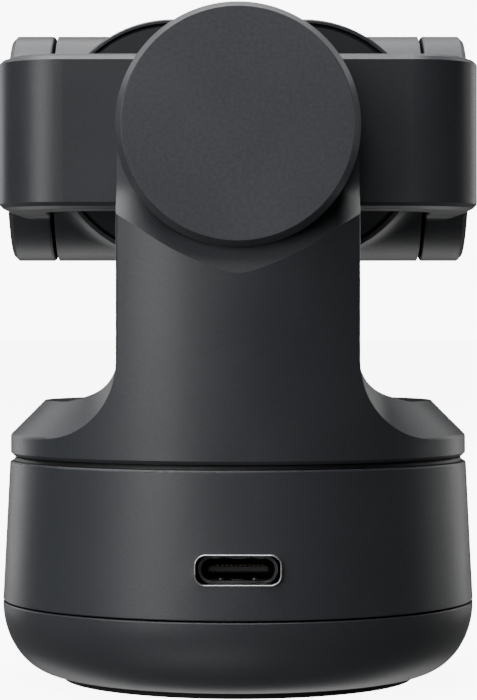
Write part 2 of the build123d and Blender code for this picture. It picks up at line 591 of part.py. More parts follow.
# aluminium plate and boss that carry the roll motor
with BuildPart() as roll_motor_mount:
    with BuildSketch(Plane.XZ.offset(-COLUMN_FRONT_Y)):
        with Locations((0, AXIS_Z)):
            Circle(HOUSING_BORE_R - 0.04)
    extrude(amount=-1.4)
    with BuildSketch(Plane.XZ.offset(-COLUMN_FRONT_Y)):
        with Locations((0, AXIS_Z)):
            Circle(5.0)
    extrude(amount=-7.3)
    with BuildSketch(Plane.XZ.offset(-COLUMN_FRONT_Y)):
        with Locations((0, AXIS_Z)):
            Circle(2.5)
    extrude(amount=-8, mode=Mode.SUBTRACT)
    with BuildSketch(Plane.XZ.offset(-COLUMN_FRONT_Y)):
        with Locations((0, AXIS_Z)):
            Circle(BEARING_R)
    extrude(amount=-3.2, mode=Mode.SUBTRACT)
    with BuildSketch(Plane.XZ.offset(-22.2)):
        with Locations((0, AXIS_Z)):
            Circle(BEARING_R)
    extrude(amount=-4, mode=Mode.SUBTRACT)
    with BuildSketch(Plane.XZ.offset(-COLUMN_FRONT_Y)):
        with Locations((0, AXIS_Z)):
            with PolarLocations(9.6, 4, start_angle=45):
                Circle(1.0)
    extrude(amount=-0.9, mode=Mode.SUBTRACT)
roll_motor_mount.part.label = "roll_motor_mount"
export_step(roll_motor_mount.part, "parts/roll_motor_mount.step")

with BuildPart() as roll_bearings:
    for y0 in (18.1, 22.2):
        with BuildSketch(Plane.XZ.offset(-y0)):
            with Locations((0, AXIS_Z)):
                Circle(BEARING_R - 0.02)
                Circle(BORE_R, mode=Mode.SUBTRACT)
        extrude(amount=-3.0)
    for y0 in (18.1, 20.9, 22.2, 25.0):
        with BuildSketch(Plane.XZ.offset(-y0)):
            with Locations((0, AXIS_Z)):
                Circle(2.9)
                Circle(2.1, mode=Mode.SUBTRACT)
        extrude(amount=-0.2, mode=Mode.SUBTRACT)
roll_bearings.part.label = "roll_bearings"
export_step(roll_bearings.part, "parts/roll_bearings.step")

# nine-tooth roll stator
with BuildPart() as roll_stator:
    with BuildSketch(Plane.XZ.offset(-20.4)):
        with Locations((0, AXIS_Z)):
            Circle(8.9)
            Circle(8.2, mode=Mode.SUBTRACT)
            with PolarLocations(8.6, 9, start_angle=20):
                Rectangle(2.0, 1.0, mode=Mode.SUBTRACT)
            with PolarLocations(7.2, 9):
                Rectangle(2.4, 1.5)
            Circle(6.1)
            Circle(5.02, mode=Mode.SUBTRACT)
    extrude(amount=-3.6)
roll_stator.part.label = "roll_stator"
export_step(roll_stator.part, "parts/roll_stator.step")

with BuildPart() as roll_coils:
    with BuildSketch(Plane.XZ.offset(-19.95)):
        with Locations((0, AXIS_Z)):
            with PolarLocations(7.15, 9):
                RectangleRounded(1.8, 2.8, 0.35)
    extrude(amount=-4.5)
    with BuildSketch(Plane.XZ.offset(-20.38)):
        with Locations((0, AXIS_Z)):
            with PolarLocations(7.15, 9):
                Rectangle(3.0, 1.54)
    extrude(amount=-3.64, mode=Mode.SUBTRACT)
roll_coils.part.label = "roll_coils"
export_step(roll_coils.part, "parts/roll_coils.step")

# round cap that closes the roll housing at the rear, bevelled to a flat face
with BuildPart() as back_cap:
    with BuildSketch(Plane.YZ):
        with BuildLine():
            Polyline((CAP_BACK_Y, AXIS_Z), (CAP_BACK_Y, AXIS_Z + 11.5), (25.3, AXIS_Z + 11.5), (25.3, AXIS_Z + 12.2), (CAP_BACK_Y, AXIS_Z + 12.2),
                     (CAP_BACK_Y, AXIS_Z + CAP_R - 0.06), (CAP_BACK_Y + 0.06, AXIS_Z + CAP_R), (CAP_FACE_Y, AXIS_Z + CAP_FACE_R), (CAP_FACE_Y, AXIS_Z), (CAP_BACK_Y, AXIS_Z))
        make_face()
    revolve(axis=Axis((0, 0, AXIS_Z), (0, 1, 0)))
    fillet(back_cap.edges().filter_by(GeomType.CIRCLE).group_by(Axis.Y)[-1], 0.12)
back_cap.part.label = "back_cap"
export_step(back_cap.part, "parts/back_cap.step")

# ------------------------------------------------------------------------ yoke
with BuildPart() as roll_rotor_bell:
    with BuildSketch(Plane.YZ):
        with BuildLine():
            Polyline((26.0, AXIS_Z + PRESS_R), (26.0, AXIS_Z + 10.6), (25.6, AXIS_Z + 11.0), (19.9, AXIS_Z + 11.0), (19.9, AXIS_Z + 10.22),
                     (25.45, AXIS_Z + 10.22), (25.45, AXIS_Z + PRESS_R), (26.0, AXIS_Z + PRESS_R))
        make_face()
    revolve(axis=Axis((0, 0, AXIS_Z), (0, 1, 0)))
roll_rotor_bell.part.label = "roll_rotor_bell"
export_step(roll_rotor_bell.part, "parts/roll_rotor_bell.step")

with BuildPart() as roll_magnets:
    with BuildSketch(Plane.XZ.offset(-20.1)):
        with Locations((0, AXIS_Z)):
            Circle(10.2)
            Circle(9.2, mode=Mode.SUBTRACT)
            with PolarLocations(9.7, 12):
                Rectangle(3.0, 0.7, mode=Mode.SUBTRACT)
    extrude(amount=-4.6)
roll_magnets.part.label = "roll_magnets"
export_step(roll_magnets.part, "parts/roll_magnets.step")

with BuildPart() as roll_shaft:
    with BuildSketch(Plane.XZ.offset(-12.7)):
        with Locations((0, AXIS_Z)):
            Circle(SHAFT_R)
    extrude(amount=-13.3)
    chamfer(roll_shaft.edges().filter_by(GeomType.CIRCLE), 0.2)
roll_shaft.part.label = "roll_shaft"
export_step(roll_shaft.part, "parts/roll_shaft.step")

# hub on the roll shaft, screwed to the inside of the yoke's rear wall
with BuildPart() as roll_hub:
    with BuildSketch(Plane.YZ):
        with BuildLine():
            Polyline((12.7, AXIS_Z + PRESS_R), (12.7, AXIS_Z + 3.0), (14.4, AXIS_Z + 3.0), (14.4, AXIS_Z + 5.8), (16.0, AXIS_Z + 5.8), (16.0, AXIS_Z + PRESS_R), (12.7, AXIS_Z + PRESS_R))
        make_face()
    revolve(axis=Axis((0, 0, AXIS_Z), (0, 1, 0)))
    with BuildSketch(Plane.XZ.offset(-14.0)):
        with Locations((0, AXIS_Z)):
            with PolarLocations(4.4, 4, start_angle=45):
                Circle(0.6)
    extrude(amount=-3, mode=Mode.SUBTRACT)
roll_hub.part.label = "roll_hub"
export_step(roll_hub.part, "parts/roll_hub.step")

# U-shaped yoke: bevelled band, two round motor bosses, channel along the inside
FACET_1, FACET_2 = 0.45, 0.32           # heights of the two bevel facets
with BuildPart() as yoke_frame:
    with BuildSketch(Plane.XY.offset(AXIS_Z - YOKE_HALF_H + FACET_1 + FACET_2)) as band_plan:
        with Locations((0, (YOKE_Y + TILT_Y) / 2)):
            Rectangle(2 * YOKE_X, YOKE_Y - TILT_Y)
        fillet(band_plan.vertices().group_by(Axis.Y)[-1], YOKE_CORNER)
    extrude(amount=2 * (YOKE_HALF_H - FACET_1 - FACET_2))
    # first facet, 45 degrees, on the upper and lower edges
    extrude(yoke_frame.faces().sort_by(Axis.Z)[-1], amount=FACET_1, taper=45)
    extrude(yoke_frame.faces().sort_by(Axis.Z)[0], amount=FACET_1, taper=45)
    # second, flatter facet
    extrude(yoke_frame.faces().sort_by(Axis.Z)[-1], amount=FACET_2, taper=72)
    extrude(yoke_frame.faces().sort_by(Axis.Z)[0], amount=FACET_2, taper=72)
    # open inside of the U
    with BuildSketch(Plane.XY.offset(AXIS_Z - 20)) as u_inside:
        with Locations((0, (YOKE_IN_Y - 30) / 2)):
            Rectangle(2 * YOKE_IN_X, YOKE_IN_Y + 30)
        fillet(u_inside.vertices().group_by(Axis.Y)[-1], YOKE_IN_CORNER)
    extrude(amount=40, mode=Mode.SUBTRACT)
    # round bosses on the tilt axis
    for x0, d in ((YOKE_IN_X, 1), (-YOKE_IN_X, -1)):
        with BuildSketch(Plane.YZ.offset(x0)):
            with Locations((TILT_Y, AXIS_Z)):
                Circle(BOSS_R)
        extrude(amount=d * (CAP_SPLIT_X - YOKE_IN_X))
    # soft root where the arms meet the bosses
    roots = yoke_frame.edges().filter_by(Axis.X).filter_by(
        lambda e: abs(abs(e.center().Z - AXIS_Z) - YOKE_HALF_H) < 0.05 and e.center().Y > TILT_Y and e.center().Y < 0 and e.length > 3)
    fillet(roots, 2.0)
    fillet(yoke_frame.edges().filter_by(GeomType.CIRCLE).filter_by(lambda e: abs(abs(e.center().X) - YOKE_IN_X) < 0.01 and abs(e.radius - BOSS_R) < 0.01), 0.35)
    # motor and bearing cavities, closed by the boss caps
    for d in (1, -1):
        with BuildSketch(Plane.YZ.offset(d * 24.2)):
            with Locations((TILT_Y, AXIS_Z)):
                Circle(12.4)
                Circle(4.6, mode=Mode.SUBTRACT)
        extrude(amount=d * 5, mode=Mode.SUBTRACT)
        with BuildSketch(Plane.YZ.offset(d * 25.5)):
            with Locations((TILT_Y, AXIS_Z)):
                Circle(5.0)
        extrude(amount=d * 5, mode=Mode.SUBTRACT)
        with BuildSketch(Plane.YZ.offset(d * CAP_SPLIT_X)):
            with Locations((TILT_Y, AXIS_Z)):
                Circle(BOSS_R + 0.02)
        extrude(amount=d * 5, mode=Mode.SUBTRACT)
        with BuildSketch(Plane.YZ.offset(d * 23.3)):
            with Locations((TILT_Y, AXIS_Z)):
                Circle(BEARING_R)
        extrude(amount=d * 5, mode=Mode.SUBTRACT)
        with BuildSketch(Plane.YZ.offset(d * 22.5)):
            with Locations((TILT_Y, AXIS_Z)):
                Circle(2.2)
        extrude(amount=d * 5, mode=Mode.SUBTRACT)
    # channel round the inside of the U for the cover and the cables
    with BuildSketch(Plane.XY.offset(AXIS_Z - 7.0)) as channel_plan:
        with BuildSketch(Plane.XY, mode=Mode.PRIVATE) as channel_out:
            with Locations((0, (YOKE_Y - 1.5 + 0.9) / 2)):
                Rectangle(2 * (YOKE_X - 1.5), YOKE_Y - 1.5 - 0.9)
            fillet(channel_out.vertices().group_by(Axis.Y)[-1], YOKE_CORNER - 1.5)
        add(channel_out.sketch)
    extrude(amount=14.0, mode=Mode.SUBTRACT)
    # screw posts in the channel
    with BuildSketch(Plane.XZ.offset(-11.7)):
        with Locations((-12.5, AXIS_Z + 4), (12.5, AXIS_Z + 4), (-12.5, AXIS_Z - 4), (12.5, AXIS_Z - 4)):
            Circle(1.7)
    extrude(amount=-4.6)
    with BuildSketch(Plane.XZ.offset(-11.7)):
        with Locations((-12.5, AXIS_Z + 4), (12.5, AXIS_Z + 4), (-12.5, AXIS_Z - 4), (12.5, AXIS_Z - 4)):
            Circle(0.77)
    extrude(amount=-3.6, mode=Mode.SUBTRACT)
    # passage for the roll shaft and for the cable into the right boss
    with BuildSketch(Plane.XZ.offset(-15)):
        with Locations((0, AXIS_Z)):
            Circle(2.2)
    extrude(amount=-4, mode=Mode.SUBTRACT)
    with BuildSketch(Plane.XZ.offset(3)):
        with Locations((25.6, AXIS_Z)):
            Rectangle(0.9, 6.4)
    extrude(amount=-5, mode=Mode.SUBTRACT)
yoke_frame.part.label = "yoke_frame"
export_step(yoke_frame.part, "parts/yoke_frame.step")

# U-shaped strip that closes the channel, flush with the inside of the band
with BuildPart() as yoke_inner_cover:
    with BuildSketch(Plane.XY.offset(AXIS_Z - 6.95)) as cover_plan:
        with Locations((0, (YOKE_IN_Y + 1.2 + 0.95) / 2)):
            Rectangle(2 * (YOKE_IN_X + 1.2), YOKE_IN_Y + 1.2 - 0.95)
        fillet(cover_plan.vertices().group_by(Axis.Y)[-1], YOKE_IN_CORNER + 1.2)
    extrude(amount=13.9)
    with BuildSketch(Plane.XY.offset(AXIS_Z - 10)) as cover_inside:
        with Locations((0, (YOKE_IN_Y - 30) / 2)):
            Rectangle(2 * YOKE_IN_X, YOKE_IN_Y + 30)
        fillet(cover_inside.vertices().group_by(Axis.Y)[-1], YOKE_IN_CORNER)
    extrude(amount=20, mode=Mode.SUBTRACT)
    with BuildSketch(Plane.XZ.offset(-10.0)):
        with Locations((-12.5, AXIS_Z + 4), (12.5, AXIS_Z + 4), (-12.5, AXIS_Z - 4), (12.5, AXIS_Z - 4)):
            Circle(1.45)
    extrude(amount=-1.25, mode=Mode.SUBTRACT)
    with BuildSketch(Plane.XZ.offset(-10.0)):
        with Locations((-12.5, AXIS_Z + 4), (12.5, AXIS_Z + 4), (-12.5, AXIS_Z - 4), (12.5, AXIS_Z - 4)):
            Circle(0.85)
    extrude(amount=-3, mode=Mode.SUBTRACT)
yoke_inner_cover.part.label = "yoke_inner_cover"
export_step(yoke_inner_cover.part, "parts/yoke_inner_cover.step")

with BuildPart() as yoke_screws:
    with BuildSketch(Plane.XZ.offset(-10.55)):
        with Locations((-12.5, AXIS_Z + 4), (12.5, AXIS_Z + 4), (-12.5, AXIS_Z - 4), (12.5, AXIS_Z - 4)):
            Circle(1.35)
    extrude(amount=-0.7)
    with BuildSketch(Plane.XZ.offset(-11.25)):
        with Locations((-12.5, AXIS_Z + 4), (12.5, AXIS_Z + 4), (-12.5, AXIS_Z - 4), (12.5, AXIS_Z - 4)):
            Circle(0.75)
    extrude(amount=-3.8)
    with BuildSketch(Plane.XZ.offset(-10.55)):
        with Locations((-12.5, AXIS_Z + 4), (12.5, AXIS_Z + 4), (-12.5, AXIS_Z - 4), (12.5, AXIS_Z - 4)):
            Rectangle(1.5, 0.32)
            Rectangle(0.32, 1.5)
    extrude(amount=-0.4, mode=Mode.SUBTRACT)
yoke_screws.part.label = "yoke_screws"
export_step(yoke_screws.part, "parts/yoke_screws.step")

# flat cable in the channel, from the roll hub round the corner to the right boss
with BuildPart() as yoke_flex_cable:
    with BuildSketch(Plane.XY.offset(AXIS_Z - 2.1)):
        with BuildLine():
            Line((7.0, 15.2), (19.0, 15.2))
            RadiusArc((19.0, 15.2), (25.8, 8.4), 6.8)
            Polyline((25.8, 8.4), (25.8, -1.0), (25.55, -1.0), (25.55, 8.4))
            RadiusArc((25.55, 8.4), (19.0, 14.95), -6.55)
            Polyline((19.0, 14.95), (7.0, 14.95), (7.0, 15.2))
        make_face()
    extrude(amount=4.2)
yoke_flex_cable.part.label = "yoke_flex_cable"
export_step(yoke_flex_cable.part, "parts/yoke_flex_cable.step")

with BuildPart() as tilt_bearings:
    for d in (1, -1):
        with BuildSketch(Plane.YZ.offset(d * 23.3)):
            with Locations((TILT_Y, AXIS_Z)):
                Circle(BEARING_R - 0.02)
                Circle(BORE_R, mode=Mode.SUBTRACT)
        extrude(amount=d * 2.2)
        for x0 in (23.3, 25.3):
            with BuildSketch(Plane.YZ.offset(d * x0)):
                with Locations((TILT_Y, AXIS_Z)):
                    Circle(2.9)
                    Circle(2.1, mode=Mode.SUBTRACT)
            extrude(amount=d * 0.2, mode=Mode.SUBTRACT)
tilt_bearings.part.label = "tilt_bearings"
export_step(tilt_bearings.part, "parts/tilt_bearings.step")

# flat twelve-tooth tilt stator in the right boss
with BuildPart() as tilt_stator:
    with BuildSketch(Plane.YZ.offset(24.6)):
        with Locations((TILT_Y, AXIS_Z)):
            Circle(9.5)
            Circle(8.9, mode=Mode.SUBTRACT)
            with PolarLocations(9.2, 12, start_angle=15):
                Rectangle(2.0, 0.9, mode=Mode.SUBTRACT)
            with PolarLocations(7.4, 12):
                Rectangle(3.4, 1.2)
            Circle(5.9)
            Circle(4.62, mode=Mode.SUBTRACT)
    extrude(amount=1.1)
tilt_stator.part.label = "tilt_stator"
export_step(tilt_stator.part, "parts/tilt_stator.step")

with BuildPart() as tilt_coils:
    with BuildSketch(Plane.YZ.offset(24.22)):
        with Locations((TILT_Y, AXIS_Z)):
            with PolarLocations(7.45, 12):
                RectangleRounded(2.5, 2.2, 0.3)
    extrude(amount=1.84)
    with BuildSketch(Plane.YZ.offset(24.58)):
        with Locations((TILT_Y, AXIS_Z)):
            with PolarLocations(7.45, 12):
                Rectangle(3.4, 1.24)
    extrude(amount=1.14, mode=Mode.SUBTRACT)
tilt_coils.part.label = "tilt_coils"
export_step(tilt_coils.part, "parts/tilt_coils.step")

# caps on the outer ends of the bosses
with BuildPart() as right_boss_cap:
    with BuildSketch(Plane.YZ.offset(CAP_SPLIT_X)):
        with Locations((TILT_Y, AXIS_Z)):
            Circle(BOSS_R)
    extrude(amount=YOKE_X - CAP_SPLIT_X)
    chamfer(right_boss_cap.edges().filter_by(GeomType.CIRCLE).group_by(Axis.X)[-1], 0.55)
right_boss_cap.part.label = "right_boss_cap"
export_step(right_boss_cap.part, "parts/right_boss_cap.step")

with BuildPart() as left_boss_cap:
    with BuildSketch(Plane.YZ.offset(-CAP_SPLIT_X)):
        with Locations((TILT_Y, AXIS_Z)):
            Circle(BOSS_R)
    extrude(amount=-(YOKE_X - CAP_SPLIT_X))
    chamfer(left_boss_cap.edges().filter_by(GeomType.CIRCLE).group_by(Axis.X)[0], 0.55)
left_boss_cap.part.label = "left_boss_cap"
export_step(left_boss_cap.part, "parts/left_boss_cap.step")

# ------------------------------------------------------------------------ head
with BuildPart() as tilt_rotor_bell:
    with BuildSketch(Plane.XY.offset(AXIS_Z)):
        with BuildLine():
            Polyline((26.9, TILT_Y + PRESS_R), (26.9, TILT_Y + 11.2), (26.6, TILT_Y + 11.5), (24.6, TILT_Y + 11.5), (24.6, TILT_Y + 10.82),
                     (26.3, TILT_Y + 10.82), (26.3, TILT_Y + PRESS_R), (26.9, TILT_Y + PRESS_R))
        make_face()
    revolve(axis=Axis((0, TILT_Y, AXIS_Z), (1, 0, 0)))
tilt_rotor_bell.part.label = "tilt_rotor_bell"
export_step(tilt_rotor_bell.part, "parts/tilt_rotor_bell.step")

with BuildPart() as tilt_magnets:
    with BuildSketch(Plane.YZ.offset(24.7)):
        with Locations((TILT_Y, AXIS_Z)):
            Circle(10.8)
            Circle(9.8, mode=Mode.SUBTRACT)
            with PolarLocations(10.3, 14):
                Rectangle(3.0, 0.7, mode=Mode.SUBTRACT)
    extrude(amount=1.4)
tilt_magnets.part.label = "tilt_magnets"
export_step(tilt_magnets.part, "parts/tilt_magnets.step")

with BuildPart() as right_tilt_shaft:
    with BuildSketch(Plane.YZ.offset(18.6)):
        with Locations((TILT_Y, AXIS_Z)):
            Circle(SHAFT_R)
    extrude(amount=8.3)
    chamfer(right_tilt_shaft.edges().filter_by(GeomType.CIRCLE), 0.2)
right_tilt_shaft.part.label = "right_tilt_shaft"
export_step(right_tilt_shaft.part, "parts/right_tilt_shaft.step")

with BuildPart() as left_tilt_shaft:
    with BuildSketch(Plane.YZ.offset(-18.6)):
        with Locations((TILT_Y, AXIS_Z)):
            Circle(SHAFT_R)
    extrude(amount=-7.4)
    chamfer(left_tilt_shaft.edges().filter_by(GeomType.CIRCLE), 0.2)
left_tilt_shaft.part.label = "left_tilt_shaft"
export_step(left_tilt_shaft.part, "parts/left_tilt_shaft.step")

# one-piece head housing: barrel on the tilt axis, pill-shaped rear and front openings
with BuildPart() as head_shell:
    with BuildSketch(Plane.YZ.offset(-HEAD_HALF_X)):
        with Locations((TILT_Y, AXIS_Z)):
            Circle(BARREL_R)
    extrude(amount=2 * HEAD_HALF_X)
    with BuildSketch(Plane.XZ.offset(-HEAD_BACK_Y)):
        with Locations((0, AXIS_Z)):
            SlotCenterToCenter(2 * RIM_C, 2 * RIM_R)
    with BuildSketch(Plane.XZ.offset(-TILT_Y)):
        with Locations((0, AXIS_Z)):
            SlotCenterToCenter(2 * RIM_C, 2 * (BARREL_R - 0.3))
    loft()
    roots = head_shell.edges().filter_by(
        lambda e: e.bounding_box().max.Y < 3.0 and e.bounding_box().min.Y > TILT_Y + 0.5
        and (e.bounding_box().size.Y > 2.0 or abs(e.length - 2 * RIM_C) < 0.05) and e.bounding_box().max.Y > -12)
    fillet(roots, HEAD_BLEND_R)
    # shallow front nose round the window
    with BuildSketch(Plane.XZ.offset(-HEAD_FRONT_Y)):
        with Locations((0, AXIS_Z)):
            SlotCenterToCenter(2 * 8.0, 2 * 12.3)
    with BuildSketch(Plane.XZ.offset(-TILT_Y)):
        with Locations((0, AXIS_Z)):
            SlotCenterToCenter(2 * 8.0, 2 * 13.3)
    loft()
    front_rim = head_shell.edges().filter_by(lambda e: abs(e.bounding_box().min.Y - HEAD_FRONT_Y) < 0.01 and e.bounding_box().size.Y < 0.01)
    fillet(front_rim, 0.5)
    # bright outer edge of the rear rim
    rear_rim = head_shell.edges().filter_by(lambda e: abs(e.bounding_box().max.Y - HEAD_BACK_Y) < 0.01 and e.bounding_box().size.Y < 0.01)
    chamfer(rear_rim, 0.18)
    # hollow: barrel, rear and front
    with BuildSketch(Plane.YZ.offset(-21.1)):
        with Locations((TILT_Y, AXIS_Z)):
            Circle(BARREL_R - 1.5)
    extrude(amount=42.2, mode=Mode.SUBTRACT)
    with BuildSketch(Plane.XZ.offset(-TILT_Y)):
        with Locations((0, AXIS_Z)):
            SlotCenterToCenter(2 * RIM_C, 2 * 12.5)
    extrude(amount=-30, mode=Mode.SUBTRACT)
    with BuildSketch(Plane.XZ.offset(-2.6)):
        with Locations((0, AXIS_Z)):
            SlotCenterToCenter(2 * RIM_C, 2 * 13.98)
    extrude(amount=-5, mode=Mode.SUBTRACT)
    with BuildSketch(Plane.XZ.offset(-TILT_Y)):
        with Locations((0, AXIS_Z)):
            SlotCenterToCenter(2 * 8.0, 2 * 10.6)
    extrude(amount=30, mode=Mode.SUBTRACT)
    with BuildSketch(Plane.XZ.offset(26.9)):
        with Locations((0, AXIS_Z)):
            SlotCenterToCenter(2 * 8.0, 2 * 11.5)
    extrude(amount=5, mode=Mode.SUBTRACT)
    # trunnion bosses that hold the stub shafts
    for d in (1, -1):
        with BuildSketch(Plane.YZ.offset(d * 18.6)):
            with Locations((TILT_Y, AXIS_Z)):
                Circle(3.6)
        extrude(amount=d * 3.0)
        with BuildSketch(Plane.YZ.offset(d * 18.0)):
            with Locations((TILT_Y, AXIS_Z)):
                Circle(PRESS_R)
        extrude(amount=d * 6.0, mode=Mode.SUBTRACT)
    # ledges for the interface board
    with BuildSketch(Plane.XZ.offset(6.0)):
        with Locations((-17.9, AXIS_Z + 5.6), (17.9, AXIS_Z + 5.6), (-17.9, AXIS_Z - 5.6), (17.9, AXIS_Z - 5.6)):
            Rectangle(5.4, 3.4)
    extrude(amount=-3.5)
    with BuildSketch(Plane.XZ.offset(6.5)):
        with Locations((-16.8, AXIS_Z + 5.6), (16.8, AXIS_Z + 5.6), (-16.8, AXIS_Z - 5.6), (16.8, AXIS_Z - 5.6)):
            Circle(0.77)
    extrude(amount=-5, mode=Mode.SUBTRACT)
head_shell.part.label = "head_shell"
export_step(head_shell.part, "parts/head_shell.step")

# flat pill-shaped plate in the rear opening, a narrow groove inside the rim
with BuildPart() as head_rear_cover:
    with BuildSketch(Plane.XZ.offset(-2.6)):
        with Locations((0, AXIS_Z)):
            SlotCenterToCenter(2 * RIM_C, 2 * 13.78)
    extrude(amount=-1.3)
    chamfer(head_rear_cover.faces().sort_by(Axis.Y)[-1].edges(), 0.33)
    with BuildSketch(Plane.XZ.offset(-2.6)):
        with Locations((0, AXIS_Z)):
            SlotCenterToCenter(2 * RIM_C, 2 * 12.45)
            SlotCenterToCenter(2 * RIM_C, 2 * 11.6, mode=Mode.SUBTRACT)
    extrude(amount=1.6)
head_rear_cover.part.label = "head_rear_cover"
export_step(head_rear_cover.part, "parts/head_rear_cover.step")

# black frame behind the window, with the lens opening
with BuildPart() as head_front_frame:
    with BuildSketch(Plane.XZ.offset(26.9)):
        with Locations((0, AXIS_Z)):
            SlotCenterToCenter(2 * 8.0, 2 * 11.46)
            Circle(7.6, mode=Mode.SUBTRACT)
    extrude(amount=0.4)
    with BuildSketch(Plane.XZ.offset(26.9)):
        with Locations((0, AXIS_Z)):
            Circle(8.6)
            Circle(7.6, mode=Mode.SUBTRACT)
    extrude(amount=-1.6)
head_front_frame.part.label = "head_front_frame"
export_step(head_front_frame.part, "parts/head_front_frame.step")

# clear window over the front
with BuildPart() as front_glass:
    with BuildSketch(Plane.XZ.offset(27.3)):
        with Locations((0, AXIS_Z)):
            SlotCenterToCenter(2 * 8.0, 2 * 11.46)
    extrude(amount=0.85)
    fillet(front_glass.faces().sort_by(Axis.Y)[0].edges(), 0.25)
front_glass.part.label = "front_glass"
export_step(front_glass.part, "parts/front_glass.step")

# lens barrel with stepped bore and the square holder at its rear
with BuildPart() as lens_barrel:
    with BuildSketch(Plane.XY.offset(AXIS_Z)):
        with BuildLine():
            Polyline((6.6, -26.8), (7.3, -26.8), (7.3, -22.0), (6.4, -21.4), (6.4, -13.0), (4.2, -13.0), (4.2, -18.2), (5.3, -18.2), (5.3, -23.6), (6.6, -26.8))
        make_face()
    revolve(axis=Axis((0, 0, AXIS_Z), (0, 1, 0)))
    with BuildSketch(Plane.XZ.offset(13.0)):
        with Locations((0, AXIS_Z)):
            RectangleRounded(16, 14, 1.0)
            Circle(4.2, mode=Mode.SUBTRACT)
    extrude(amount=-1.0)
    with BuildSketch(Plane.XZ.offset(12.0)):
        with Locations((0, AXIS_Z)):
            RectangleRounded(16, 14, 1.0)
            Rectangle(12.4, 10.4, mode=Mode.SUBTRACT)
    extrude(amount=-1.9)
lens_barrel.part.label = "lens_barrel"
export_step(lens_barrel.part, "parts/lens_barrel.step")

# three glass elements: flat rear faces, spherical front faces
with BuildPart() as lens_elements:
    for (y_back, y_rim, y_front, r_rim) in LENS_ELEMENTS:
        sag = y_rim - y_front
        dome_r = (r_rim ** 2 + sag ** 2) / (2 * sag)
        with BuildSketch(Plane.XY.offset(AXIS_Z)):
            with BuildLine():
                dome = CenterArc((0, y_front + dome_r), dome_r, -90, degrees(asin(r_rim / dome_r)))
                Polyline(dome @ 1, (r_rim, y_back), (0, y_back), dome @ 0)
            make_face()
        revolve(axis=Axis((0, 0, AXIS_Z), (0, 1, 0)))
lens_elements.part.label = "lens_elements"
export_step(lens_elements.part, "parts/lens_elements.step")

with BuildPart() as image_sensor:
    with BuildSketch(Plane.XZ.offset(11.0)):
        with Locations((0, AXIS_Z)):
            Rectangle(10.0, 8.0)
    extrude(amount=-0.9)
    chamfer(image_sensor.faces().sort_by(Axis.Y)[0].edges(), 0.2)
image_sensor.part.label = "image_sensor"
export_step(image_sensor.part, "parts/image_sensor.step")

with BuildPart() as sensor_board:
    with BuildSketch(Plane.XZ.offset(10.1)):
        with Locations((0, AXIS_Z)):
            RectangleRounded(18, 15, 1.0)
    extrude(amount=-1.0)
sensor_board.part.label = "sensor_board"
export_step(sensor_board.part, "parts/sensor_board.step")

# finned heat sink behind the sensor board
with BuildPart() as head_heat_sink:
    with BuildSketch(Plane.XZ.offset(9.1)):
        with Locations((0, AXIS_Z)):
            RectangleRounded(20, 17, 1.0)
    extrude(amount=-1.2)
    with BuildSketch(Plane.XZ.offset(7.9)):
        with Locations((0, AXIS_Z)):
            with GridLocations(2.6, 1, 8, 1):
                Rectangle(0.9, 16.0)
    extrude(amount=-3.2)
head_heat_sink.part.label = "head_heat_sink"
export_step(head_heat_sink.part, "parts/head_heat_sink.step")

# interface board behind the heat sink
with BuildPart() as head_board:
    with BuildSketch(Plane.XZ.offset(2.5)):
        with Locations((0, AXIS_Z)):
            RectangleRounded(37.4, 15.4, 3.5)
            with Locations((-16.8, 5.6), (16.8, 5.6), (-16.8, -5.6), (16.8, -5.6)):
                Circle(0.85, mode=Mode.SUBTRACT)
    extrude(amount=-0.9)
    for (x, z, w, h) in ((-9.5, 2.0, 6.0, 6.0), (9.5, 3.0, 5.0, 3.0), (9.0, -3.4, 7.0, 2.4)):
        with BuildSketch(Plane.XZ.offset(1.6)):
            with Locations((x, AXIS_Z + z)):
                Rectangle(w, h)
        extrude(amount=-0.9)
head_board.part.label = "head_board"
export_step(head_board.part, "parts/head_board.step")

with BuildPart() as head_screws:
    with BuildSketch(Plane.XZ.offset(1.6)):
        with Locations((-16.8, AXIS_Z + 5.6), (16.8, AXIS_Z + 5.6), (-16.8, AXIS_Z - 5.6), (16.8, AXIS_Z - 5.6)):
            Circle(1.35)
    extrude(amount=-0.8)
    with BuildSketch(Plane.XZ.offset(1.6)):
        with Locations((-16.8, AXIS_Z + 5.6), (16.8, AXIS_Z + 5.6), (-16.8, AXIS_Z - 5.6), (16.8, AXIS_Z - 5.6)):
            Circle(0.75)
    extrude(amount=4.0)
    with BuildSketch(Plane.XZ.offset(0.8)):
        with Locations((-16.8, AXIS_Z + 5.6), (16.8, AXIS_Z + 5.6), (-16.8, AXIS_Z - 5.6), (16.8, AXIS_Z - 5.6)):
            Rectangle(1.5, 0.32)
            Rectangle(0.32, 1.5)
    extrude(amount=0.4, mode=Mode.SUBTRACT)
head_screws.part.label = "head_screws"
export_step(head_screws.part, "parts/head_screws.step")
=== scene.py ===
import bpy, bmesh, json, math
from mathutils import Vector, Matrix


